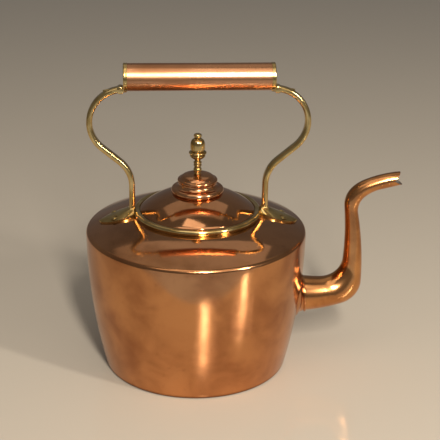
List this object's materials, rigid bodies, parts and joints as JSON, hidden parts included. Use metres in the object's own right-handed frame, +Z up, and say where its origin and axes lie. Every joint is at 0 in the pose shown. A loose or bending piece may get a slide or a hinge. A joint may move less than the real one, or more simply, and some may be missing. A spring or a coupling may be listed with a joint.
{
  "type": "copper kettle",
  "caption": "Round copper kettle with a tapering body, a swan-neck spout, a fixed brass-armed handle with a tubular grip and a domed lift-off lid with an acorn knob.",
  "frame": {"origin": "middle of the flat base, on the surface that the kettle stands on", "axes": "+Z up, +X towards the spout, +Y to the side; the kettle is narrowest along Y"},
  "size_m": [0.2931, 0.204, 0.2908],
  "materials": {
    "copper": "hand-polished copper sheet, planished",
    "brass": "polished cast and turned brass"
  },
  "bodies": {
    "kettle": {"body_wall": "copper", "base_plate": "copper", "shoulder_plate": "copper", "lid_collar": "brass", "spout_socket": "copper", "spout_ring": "copper", "spout_tube": "copper", "handle_arm_left": "brass", "handle_arm_right": "brass", "handle_foot_left": "brass", "handle_foot_right": "brass", "foot_rivets_left": "brass", "foot_rivets_right": "brass", "grip_tube": "copper", "grip_cap_left": "brass", "grip_cap_right": "brass"},
    "lid": {"lid_dome": "copper", "lid_bezel": "copper", "lid_boss": "copper", "acorn_knob": "brass", "knob_washer": "brass", "knob_nut": "brass"}
  },
  "joints": [
    {"name": "lid_lift", "type": "slide", "parent": "kettle", "child": "lid", "axis": [0, 0, 1], "range_m": [0, 0.036]}
  ]
}
